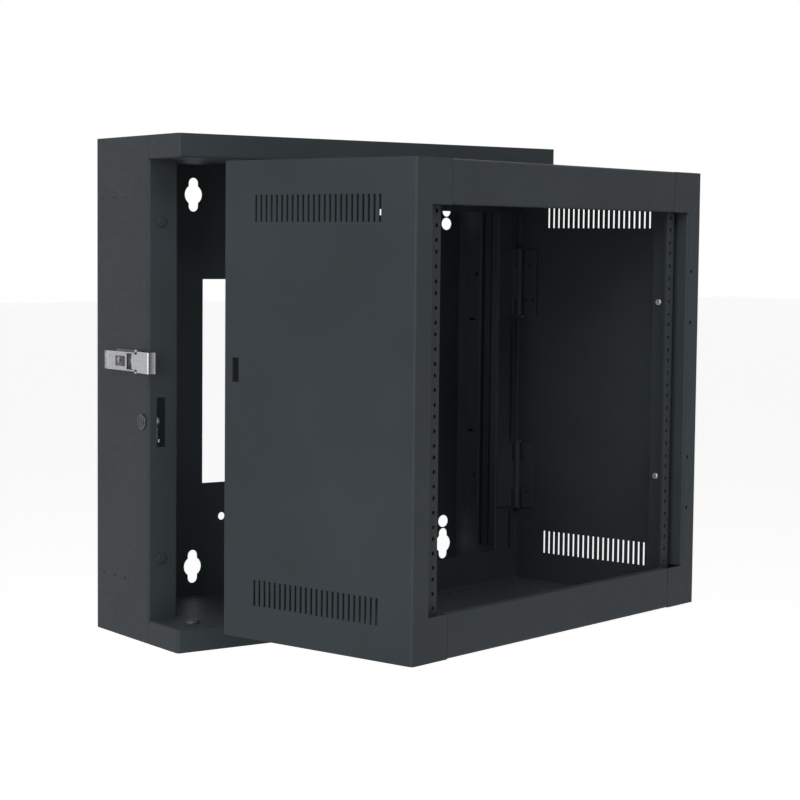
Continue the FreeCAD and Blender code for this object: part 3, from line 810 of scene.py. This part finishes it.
@dataclass(frozen=True)
class PushButton(TurnedPiece):
    """A push-in button with a dished head and a barbed stem."""

    SIDES: ClassVar[int] = 40
    DOME: ClassVar[float] = 0.6
    EASE: ClassVar[float] = 0.15

    dish_shares: Span = (0.22, 0.08)
    barb: float = 1.2
    barb_height: float = 1.6
    barb_taper: float = 0.6

    def shank(self) -> None:
        """Draw out the stem and the barb behind it."""
        super().shank()
        Bench.step((self.shank_radius + self.barb) / self.shank_radius)
        Bench.extrude((0, 0, -self.barb_height))
        Bench.grow(self.barb_taper)

    def recess(self, piece: Piece) -> None:
        """Dish the top of the head.

        Args:
            piece: The button.
        """
        top = self.head_height
        with Bench.editing(piece):
            Bench.pick_faces(piece, lambda p, n: p.z > top - TIGHT and n.z > ALONG)
            Bench.inset(self.head_radius * self.dish_shares[0])
            Bench.extrude((0, 0, -top * self.dish_shares[1]))


@dataclass
class PanShell(Assembly):
    """The pan on the wall: rear panel, side walls, lacing bar and the two hoods."""

    nodes: tuple[str, ...] = (
        "rear_panel", "left_side_wall", "right_side_wall", "lacing_bar", "top_tray", "bottom_tray"
    )
    edge: float = 0.35

    def build(self) -> None:
        """Dress every sheet of the pan."""
        for node in self.nodes:
            self.sheet(node, Body.PAN, Slot.PAN, self.edge)


@dataclass
class SwingSection(Assembly):
    """The swinging section's four folded panels."""

    sides: tuple[str, ...] = ("left", "right", "top", "bottom")
    edge: float = 0.35

    def build(self) -> None:
        """Dress every panel of the section."""
        for side in self.sides:
            self.sheet(f"section_{side}_panel", Body.SECTION, Slot.SECTION, self.edge)


@dataclass
class RackRails(Assembly):
    """The rack rails, their brackets and the screws that hold them."""

    seat: float = 241.52
    screw_y: float = -386.7
    row: float = 110.0
    turn: float = 22.0
    turn_step: float = 31.0
    screw: CrossHeadScrew = CrossHeadScrew(4.4, 2.8, 2.4, 9.0)

    def build(self) -> None:
        """Dress the rails and brackets and model the screws."""
        for side in ("left", "right"):
            self.sheet(f"rail_{side}", Body.SECTION, Slot.RAIL)
            for row in ("upper", "lower"):
                self.sheet(f"rail_bracket_{side}_{row}", Body.SECTION, Slot.RAIL)
        self.screws()

    def screws(self) -> None:
        """Model one rail screw and copy it to the four legs."""
        master = self.screw.model("rail_screw_pattern")
        copies = []
        for side in Ends:
            for end in Ends:
                foot = (side.value * self.seat, self.screw_y, end.value * self.row)
                turn = self.turn + self.turn_step * end.value
                place = SECTION_SWING.matrix() @ aimed(foot, (-side.value, 0, 0), turn)
                copies.append(Bench.copy(master, f"rail_screw_{side.name}_{end.name}".lower(), place))
        bpy.data.objects.remove(master)
        for number, piece in enumerate(copies):
            self.dress(piece, Body.SECTION, Slot.ZINC, *(["rail_screws"] if number == 0 else []))


@dataclass
class HingePair(Assembly):
    """The two hinges: fixed leaves, moving leaves and headed pins."""

    row: float = 130.0
    half: float = 44.0
    pin: DomedPin = DomedPin(4.8, 2.4, 2.45, 88.0, 4.8, 1.8, (24.02, 63.62))

    def build(self) -> None:
        """Dress the leaves and model the pins."""
        master = self.pin.model("hinge_pin_pattern")
        for name, end in (("upper", Ends.HIGH), ("lower", Ends.LOW)):
            self.sheet(f"hinge_fixed_leaf_{name}", Body.PAN, Slot.HINGE)
            self.sheet(f"hinge_moving_leaf_{name}", Body.SECTION, Slot.HINGE)
            top = (SECTION_SWING.x, SECTION_SWING.y, end.value * self.row + self.half)
            pin = Bench.copy(master, f"hinge_pin_{name}_turned", aimed(top, (0, 0, 1)))
            self.dress(pin, Body.PAN, Slot.HINGE, f"hinge_pin_{name}")
        bpy.data.objects.remove(master)


@dataclass
class StopsAndGlide(Assembly):
    """The rubber stops on the left flange and the glide on the lower hood."""

    stop: PushButton = PushButton(6.0, 3.0, 2.6, 1.5)
    glide: PushButton = PushButton(9.0, 5.0, 3.0, 1.5)
    stop_x: float = -265.0
    stop_y: float = -133.5
    stop_row: float = 203.0
    glide_place: Place = (-246.0, -177.0, -277.4)

    def build(self) -> None:
        """Model the stops and the glide."""
        master = self.stop.model("stop_pattern")
        for end in Ends:
            place = aimed((self.stop_x, self.stop_y, end.value * self.stop_row), (0, -1, 0))
            stop = Bench.copy(master, f"stop_{end.name}".lower(), place)
            self.dress(stop, Body.PAN, Slot.STOP, *(["bumpers"] if end is Ends.LOW else []))
        bpy.data.objects.remove(master)
        glide = self.glide.model("glide_button")
        Bench.moved(glide, aimed(self.glide_place, (0, 0, 1)))
        self.dress(glide, Body.PAN, Slot.GLIDE, "glide")


@dataclass
class DrawLatch(Assembly):
    """The over-centre draw latch: base with ears, windowed lever and hooking claw."""

    wall: float = -282.0
    x: float = -287.2
    y: float = -112.0
    row: float = 35.0
    gauge: float = 1.5
    half: float = 13.25
    throw: float = 5.0
    rest: float = 5.0
    lift: float = 3.0
    base_ends: Span = (-120.0, -54.0)
    lever_ends: Span = (-97.5, -50.0)
    window_ends: Span = (-93.5, -72.5)
    window_half: float = 6.25
    rivets: tuple[float, ...] = (-61.0, -95.0)
    ear_half: float = 3.6
    ear_round: float = 3.4
    plate_round: float = 1.4
    stud: DomedPin = DomedPin(2.5, 0.9, 1.6, 3.4)
    rivet: DomedPin = DomedPin(3.4, 1.2, 2.0, 3.0, 3.4, 1.2)
    pin_radius: float = 1.5
    pin_chamfer: Span = (0.3, 0.15)
    lever_half: float = 11.35
    lever_skin: float = 2.8
    cheek_drop: float = 5.2
    cheek_nose: float = 3.2
    cheek_rounds: Span = (3.0, 3.4)
    skin_round: float = 0.9
    grip_radius: float = 1.0
    grip_curl: float = 115.0
    grip_steps: int = 7
    claw_skin: float = 1.6
    claw_halves: Span = (9.05, 12.85)
    claw_shoulder: float = -121.0
    claw_taper: float = 1.2
    claw_bend: float = 1.3
    lip_ends: Span = (-151.8, -150.3)
    lip_tip: float = -280.0
    eye_roll: float = 318.0
    eye_steps: int = 16

    def build(self) -> None:
        """Model every piece of the latch."""
        self.base()
        self.fasteners()
        self.lever()
        self.claw()

    def base(self) -> None:
        """Model the base plate and draw its two ears out of it."""
        outer, z = self.wall - self.gauge, self.row
        front, rear = self.base_ends
        plate = Bench.slab("latch_base_plate", (outer, front, z - self.half), (self.wall, rear, z + self.half))
        ear_front, ear_rear, near = self.y - self.ear_half, self.y + self.ear_half, self.half - self.gauge
        with Bench.editing(plate):
            for height in (z - near, z + near):
                Bench.cut((0, 0, height), (0, 0, 1))
            for depth in (ear_front, ear_rear):
                Bench.cut((0, depth, 0), (0, 1, 0))
            Bench.pick_edges(plate, lambda p, d: abs(d.x) > ALONG and (p.y > rear - CLOSE or p.y < front + CLOSE))
            Bench.round_edges(self.plate_round, 4)
            Bench.pick_faces(plate, lambda p, n: n.x < -ALONG and ear_front < p.y < ear_rear and abs(p.z - z) > near)
            Bench.extrude((self.x - self.ear_half - outer, 0, 0))
            Bench.pick_edges(plate, lambda p, d: abs(d.z) > ALONG and p.x < self.x - self.ear_half + CLOSE)
            Bench.round_edges(self.ear_round, 6)
        Bench.eased(plate, 0.25)
        self.dress(plate, Body.PAN, Slot.LATCH, "latch_base")
        # The base plate takes the darker plating copy, so its shade under the lever is painted in
        plate.data.materials[0] = self.finishes.painted_shade_plating

    def fasteners(self) -> None:
        """Model the pivot studs, the rivets and the claw's pin."""
        stud = self.stud.model("stud_pattern")
        rivet = self.rivet.model("rivet_pattern")
        for end in Ends:
            foot = (self.x, self.y, self.row + end.value * self.half)
            piece = Bench.copy(stud, f"latch_stud_{end.name}".lower(), aimed(foot, (0, 0, end.value)))
            self.dress(piece, Body.PAN, Slot.ZINC, *(["latch_pivot_studs"] if end is Ends.LOW else []))
        for number, depth in enumerate(self.rivets):
            foot = (self.wall - self.gauge, depth, self.row)
            piece = Bench.copy(rivet, f"latch_rivet_{number}", aimed(foot, (-1, 0, 0)))
            self.dress(piece, Body.PAN, Slot.ZINC, *(["latch_rivets"] if number == 0 else []))
        for master in (stud, rivet):
            bpy.data.objects.remove(master)
        low, high = ((self.x, self.y + self.throw, self.row + end.value * self.lever_half) for end in Ends)
        pin = Bench.bar("latch_claw_pin_turned", self.pin_radius, low, high, sides=28)
        with Bench.editing(pin):
            Bench.pick_faces(pin, lambda p, n: abs(n.z) > ALONG)
            Bench.chamfer(*self.pin_chamfer)
        Bench.eased(pin, 0.08, sharp=TURNED)
        Bench.moved(pin, Swing(self.x, self.y, self.rest).matrix())
        self.dress(pin, Body.HANDLE, Slot.ZINC, "latch_claw_pin")

    def lever(self) -> None:
        """Model the lever: a channel with a window and a curled grip."""
        inner, wide, z = self.x - self.lever_skin, self.lever_half, self.row
        outer, near = inner - self.gauge, wide - self.gauge
        front, tip = self.lever_ends
        start, stop = self.window_ends
        lever = Bench.slab("latch_lever_pressed", (outer, front, z - wide), (inner, tip, z + wide))
        with Bench.editing(lever):
            for height in (-near, -self.window_half, self.window_half, near):
                Bench.cut((0, 0, z + height), (0, 0, 1))
            for depth in self.window_ends:
                Bench.cut((0, depth, 0), (0, 1, 0))
            Bench.pick_faces(lever, lambda p, n: n.x > ALONG and abs(p.z - z) > near)
            Bench.extrude((self.cheek_drop, 0, 0))
            Bench.pick_faces(lever, lambda p, n: n.y < -ALONG and abs(p.z - z) > near)
            Bench.extrude((0, self.y - self.cheek_nose - front, 0))
            Bench.pick_edges(lever, lambda p, d: abs(d.z) > ALONG and p.y < self.y - self.cheek_nose + CLOSE)
            Bench.round_edges(self.cheek_rounds[0], 6)
            Bench.pick_edges(lever, lambda p, d: abs(d.z) > ALONG and p.y > tip - CLOSE and p.x > inner + CLOSE)
            Bench.round_edges(self.cheek_rounds[1], 5)
            Bench.pick_edges(
                lever, lambda p, d: abs(d.y) > ALONG and p.x < outer + CLOSE and abs(p.z - z) > wide - CLOSE
            )
            Bench.round_edges(self.skin_round, 4)
            Bench.pick_faces(
                lever, lambda p, n: abs(n.x) > ALONG and start < p.y < stop and abs(p.z - z) < self.window_half
            )
            bpy.ops.mesh.bridge_edge_loops()
            Bench.pick_faces(lever, lambda p, n: n.y > ALONG and p.y > tip - CLOSE and p.x < inner + CLOSE)
            curl = Vector((outer - self.grip_radius, tip, z)) * MM
            bpy.ops.mesh.spin(
                steps=self.grip_steps, angle=math.radians(self.grip_curl), center=curl, axis=(0, 0, 1)
            )
        Bench.eased(lever, 0.2)
        Bench.moved(lever, Swing(self.x, self.y, self.rest).matrix())
        self.dress(lever, Body.HANDLE, Slot.LATCH, "latch_lever")

    def claw(self) -> None:
        """Model the claw: a rolled eye, a strap, a wide head and a turned-in lip."""
        skin_in, z, pin_y = self.x - self.claw_skin, self.row, self.y + self.throw
        skin_out, shoulder = skin_in - self.gauge, self.claw_shoulder
        narrow, wide = self.claw_halves
        lip_front, lip_rear = self.lip_ends
        claw = Bench.slab("latch_claw_pressed", (skin_out, shoulder, z - narrow), (skin_in, pin_y, z + narrow))
        with Bench.editing(claw):
            Bench.pick_faces(claw, lambda p, n: n.y < -ALONG)
            Bench.extrude((0, -self.claw_taper, 0))
            bpy.ops.transform.resize(value=(1.0, 1.0, wide / narrow))
            Bench.extrude((0, lip_rear - shoulder + self.claw_taper, 0))
            Bench.extrude((0, lip_front - lip_rear, 0))
            Bench.pick_faces(claw, lambda p, n: n.x > ALONG and p.y < lip_rear)
            Bench.extrude((self.lip_tip - skin_in, 0, 0))
            Bench.pick_edges(
                claw, lambda p, d: abs(d.z) > ALONG and p.y < lip_front + CLOSE and p.x < skin_out + CLOSE
            )
            Bench.round_edges(self.claw_bend, 5)
            Bench.pick_faces(claw, lambda p, n: n.y > ALONG and p.y > pin_y - CLOSE)
            eye = Vector((self.x, pin_y, z)) * MM
            bpy.ops.mesh.spin(steps=self.eye_steps, angle=math.radians(self.eye_roll), center=eye, axis=(0, 0, -1))
        Bench.eased(claw, 0.2)
        angle = math.radians(self.rest)
        shift = Vector((-self.throw * math.sin(angle), self.throw * (math.cos(angle) - 1), 0.0)) * MM
        Bench.moved(claw, Matrix.Translation(shift) @ Swing(self.x, pin_y, -self.lift).matrix())
        self.dress(claw, Body.HOOK, Slot.LATCH, "latch_claw")


@dataclass
class KeyLock(Assembly):
    """The key lock: barrel through the wall, nut, turning plug, hook cam and its screw."""

    wall: float = -282.0
    y: float = -118.0
    row: float = -37.5
    cam: float = -266.0
    cam_gauge: float = 2.5
    cam_edge: float = 0.25
    cam_screw: CrossHeadScrew = CrossHeadScrew(5.0, 2.8, 2.4, 6.0)
    screw_turn: float = 14.0
    head: float = 2.0
    head_radius: float = 9.8
    head_round: float = 0.9
    head_rim: float = 1.2
    head_dish: float = 0.4
    barrel_depth: float = 14.0
    barrel_step: float = 1.8
    bore_insets: Span = (1.95, 1.65)
    bore_reach: float = 0.5
    nut_seat: float = 1.5
    nut_flats: float = 22.0
    nut_height: float = 4.0
    nut_chamfer: Span = (0.9, 0.35)
    nut_bore: float = 8.02
    plug_radius: float = 6.0
    spindle_step: float = 2.0
    spindle_length: float = 2.5
    plug_rim: Span = (0.7, 0.3)
    key_halves: Span = (0.7, 3.5)
    key_depth: float = 2.5
    ward_ends: Span = (-1.0, 0.6)
    ward_depth: float = 0.55

    def at(self, x: float) -> Place:
        """Return a point on the lock's axis."""
        return (x, self.y, self.row)

    def build(self) -> None:
        """Model every piece of the lock."""
        self.barrel()
        self.nut()
        self.plug()
        self.sheet("lock_cam", Body.CORE, Slot.ZINC, self.cam_edge)
        screw = self.cam_screw.model("lock_cam_screw_turned")
        Bench.moved(screw, aimed(self.at(self.cam + self.cam_gauge), (1, 0, 0), self.screw_turn))
        self.dress(screw, Body.CORE, Slot.ZINC, "lock_cam_screw")

    def barrel(self) -> None:
        """Model the barrel with a dished head and a bore for the plug."""
        face = self.wall - self.head
        barrel = Bench.bar("lock_barrel_turned", self.head_radius, self.at(face), self.at(self.wall), sides=48)
        with Bench.editing(barrel):
            Bench.pick_edges(barrel, lambda p, d: p.x < face + TIGHT and abs(d.x) < ACROSS)
            Bench.round_edges(self.head_round, 4)
            Bench.pick_faces(barrel, lambda p, n: n.x > ALONG)
            Bench.inset(self.barrel_step)
            Bench.extrude((self.barrel_depth, 0, 0))
            Bench.inset(self.bore_insets[0])
            Bench.pick_faces(barrel, lambda p, n: n.x < -ALONG and p.x < face + TIGHT)
            Bench.inset(self.head_rim)
            Bench.extrude((self.head_dish, 0, 0))
            Bench.inset(self.bore_insets[1])
            Bench.pick_faces(
                barrel, lambda p, n: abs(n.x) > ALONG and (p - Vector(self.at(p.x))).length < self.bore_reach
            )
            bpy.ops.mesh.bridge_edge_loops()
        Bench.eased(barrel, 0.15)
        self.dress(barrel, Body.PAN, Slot.LOCK, "lock_barrel")

    def nut(self) -> None:
        """Model the hexagon nut with chamfered corners and a round bore."""
        start, height = self.wall + self.nut_seat, self.nut_height
        rim, rise = self.nut_chamfer
        corner, end = self.nut_flats / math.sqrt(3), start + height
        nut = Bench.bar("lock_nut_pressed", corner, self.at(start), self.at(end), sides=6)
        with Bench.editing(nut):
            Bench.pick_faces(nut, lambda p, n: abs(n.x) > ALONG)
            Bench.chamfer(rim, rise)
            bpy.ops.transform.resize(value=(height / (height + 2 * rise), 1.0, 1.0))
        bore = Bench.bar("nut_bore", self.nut_bore, self.at(start - 2 * PAST), self.at(end + 2 * PAST), sides=48)
        Bench.cored(nut, bore)
        Bench.eased(nut, 0.2)
        self.dress(nut, Body.PAN, Slot.ZINC, "lock_nut")

    def plug(self) -> None:
        """Model the plug with its rim, its keyway and the spindle behind it."""
        face = self.wall - self.head
        plug = Bench.bar("lock_plug_turned", self.plug_radius, self.at(face), self.at(self.cam), sides=40)
        with Bench.editing(plug):
            Bench.pick_faces(plug, lambda p, n: n.x > ALONG)
            Bench.inset(self.spindle_step)
            Bench.extrude((self.spindle_length, 0, 0))
            Bench.pick_faces(plug, lambda p, n: n.x < -ALONG)
            Bench.inset(self.plug_rim[0])
            Bench.extrude((self.plug_rim[1], 0, 0))
        thick, tall = self.key_halves
        low, high = self.ward_ends
        key = Bench.slab(
            "keyway",
            (face - PAST, self.y - thick, self.row - tall),
            (face + self.key_depth, self.y + thick, self.row + tall),
        )
        with Bench.editing(key):
            for height in self.ward_ends:
                Bench.cut((0, 0, self.row + height), (0, 0, 1))
            Bench.pick_faces(key, lambda p, n: n.y > ALONG and low < p.z - self.row < high)
            Bench.extrude((0, self.ward_depth, 0))
        Bench.cored(plug, key)
        Bench.eased(plug, 0.1)
        self.dress(plug, Body.CORE, Slot.LOCK, "lock_plug")


@dataclass(frozen=True)
class SoftBox:
    """A square soft lamp that faces the rack, with its place and side in metres and its power in watts."""

    name: str
    place: Place
    side: float
    power: float
    aim: Place = (0.0, -0.2, 0.0)

    def hang(self) -> None:
        """Hang the lamp where only its light is seen."""
        light = bpy.data.lights.new(self.name, "AREA")
        light.shape = "RECTANGLE"
        light.size = light.size_y = self.side
        light.energy = self.power
        lamp = bpy.data.objects.new(self.name, light)
        bpy.context.scene.collection.objects.link(lamp)
        lamp.location = self.place
        lamp.rotation_euler = (Vector(self.aim) - Vector(self.place)).to_track_quat("-Z", "Y").to_euler()
        lamp.visible_camera = False


@dataclass
class Studio:
    """A plain pale floor, soft light and the camera at the photograph's angle."""

    lamps: tuple[SoftBox, ...] = (
        SoftBox("key_light", (-3.4, -2.2, 0.7), 2.4, 89.0),
        SoftBox("top_light", (-0.8, -3.0, 3.0), 2.6, 93.0),
    )
    white: Rgba = (1.0, 1.0, 1.0, 1.0)
    floor_tone: Rgba = (0.82, 0.82, 0.82, 1.0)
    floor_size: float = 60.0
    floor_roughness: float = 0.8
    floor_lift: float = 0.77
    floor_height: float = -0.86
    ambient: float = 0.09
    spot: Place = (-1.47055, -2.33661, 0.17879)
    yaw: float = 0.615538
    pitch: float = 0.074585
    roll: float = 0.010116
    lens: float = 93.49
    sensor: float = 36.0

    def build(self) -> None:
        """Set the view, the floor, the light and the camera."""
        bpy.context.scene.view_settings.view_transform = "Standard"
        self.floor()
        self.world()
        for lamp in self.lamps:
            lamp.hang()
        self.camera()

    def seen_white(self, tree: bpy.types.NodeTree) -> Socket:
        """Pick out the rays that show the background: camera, glossy and transmission rays.

        Args:
            tree: The node tree to add to.

        Returns:
            The socket that is one for those rays.
        """
        path = tree.nodes.new("ShaderNodeLightPath")
        total = path.outputs["Is Camera Ray"]
        for name in ("Is Glossy Ray", "Is Transmission Ray"):
            joined = tree.nodes.new("ShaderNodeMath")
            joined.operation = "MAXIMUM"
            tree.links.new(total, joined.inputs[0])
            tree.links.new(path.outputs[name], joined.inputs[1])
            total = joined.outputs["Value"]
        return total

    def floor(self) -> None:
        """Lay the pale floor, which keeps the rack's shadow."""
        bpy.ops.object.select_all(action="DESELECT")
        bpy.ops.mesh.primitive_plane_add(size=self.floor_size, location=(0, 0, self.floor_height))
        floor = bpy.context.active_object
        floor.name = "studio_floor"
        material = bpy.data.materials.new("pale_floor")
        material.use_nodes = True
        tree = material.node_tree
        shader = tree.nodes["Principled BSDF"]
        shader.inputs["Base Color"].default_value = self.floor_tone
        shader.inputs["Roughness"].default_value = self.floor_roughness
        shader.inputs["Emission Color"].default_value = self.white
        lift = tree.nodes.new("ShaderNodeMath")
        lift.operation = "MULTIPLY"
        lift.inputs[1].default_value = self.floor_lift
        tree.links.new(self.seen_white(tree), lift.inputs[0])
        tree.links.new(lift.outputs["Value"], shader.inputs["Emission Strength"])
        floor.data.materials.append(material)

    def world(self) -> None:
        """Light the rack softly from all round and show white behind it."""
        world = bpy.data.worlds.new("white_studio")
        world.use_nodes = True
        tree = world.node_tree
        soft = tree.nodes["Background"]
        soft.inputs["Color"].default_value = self.white
        soft.inputs["Strength"].default_value = self.ambient
        white = tree.nodes.new("ShaderNodeBackground")
        white.inputs["Color"].default_value = self.white
        mix = tree.nodes.new("ShaderNodeMixShader")
        tree.links.new(self.seen_white(tree), mix.inputs["Fac"])
        tree.links.new(soft.outputs["Background"], mix.inputs[1])
        tree.links.new(white.outputs["Background"], mix.inputs[2])
        tree.links.new(mix.outputs["Shader"], tree.nodes["World Output"].inputs["Surface"])
        bpy.context.scene.world = world

    def camera(self) -> None:
        """Set the camera where the photograph was taken from."""
        level = math.cos(self.pitch)
        ahead = Vector((math.sin(self.yaw) * level, math.cos(self.yaw) * level, -math.sin(self.pitch)))
        right = Vector((math.cos(self.yaw), -math.sin(self.yaw), 0.0))
        up = right.cross(ahead)
        side = math.cos(self.roll) * right + math.sin(self.roll) * up
        head = math.cos(self.roll) * up - math.sin(self.roll) * right
        data = bpy.data.cameras.new("photo_camera")
        data.lens = self.lens
        data.sensor_width = self.sensor
        camera = bpy.data.objects.new("photo_camera", data)
        bpy.context.scene.collection.objects.link(camera)
        camera.matrix_world = Matrix((side, head, -ahead)).transposed().to_4x4()
        camera.location = self.spot
        bpy.context.scene.camera = camera


def main() -> None:
    """Build the finishes, the sub-assemblies and the studio in order."""
    logging.basicConfig(level=logging.INFO, format="%(message)s")
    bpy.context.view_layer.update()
    finishes = Finishes()
    finishes.make()
    for assembly in (PanShell, SwingSection, RackRails, HingePair, StopsAndGlide, DrawLatch, KeyLock):
        LOG.info("building %s", assembly.__name__)
        assembly(finishes).build()
    Studio().build()


if __name__ == "__main__":
    main()
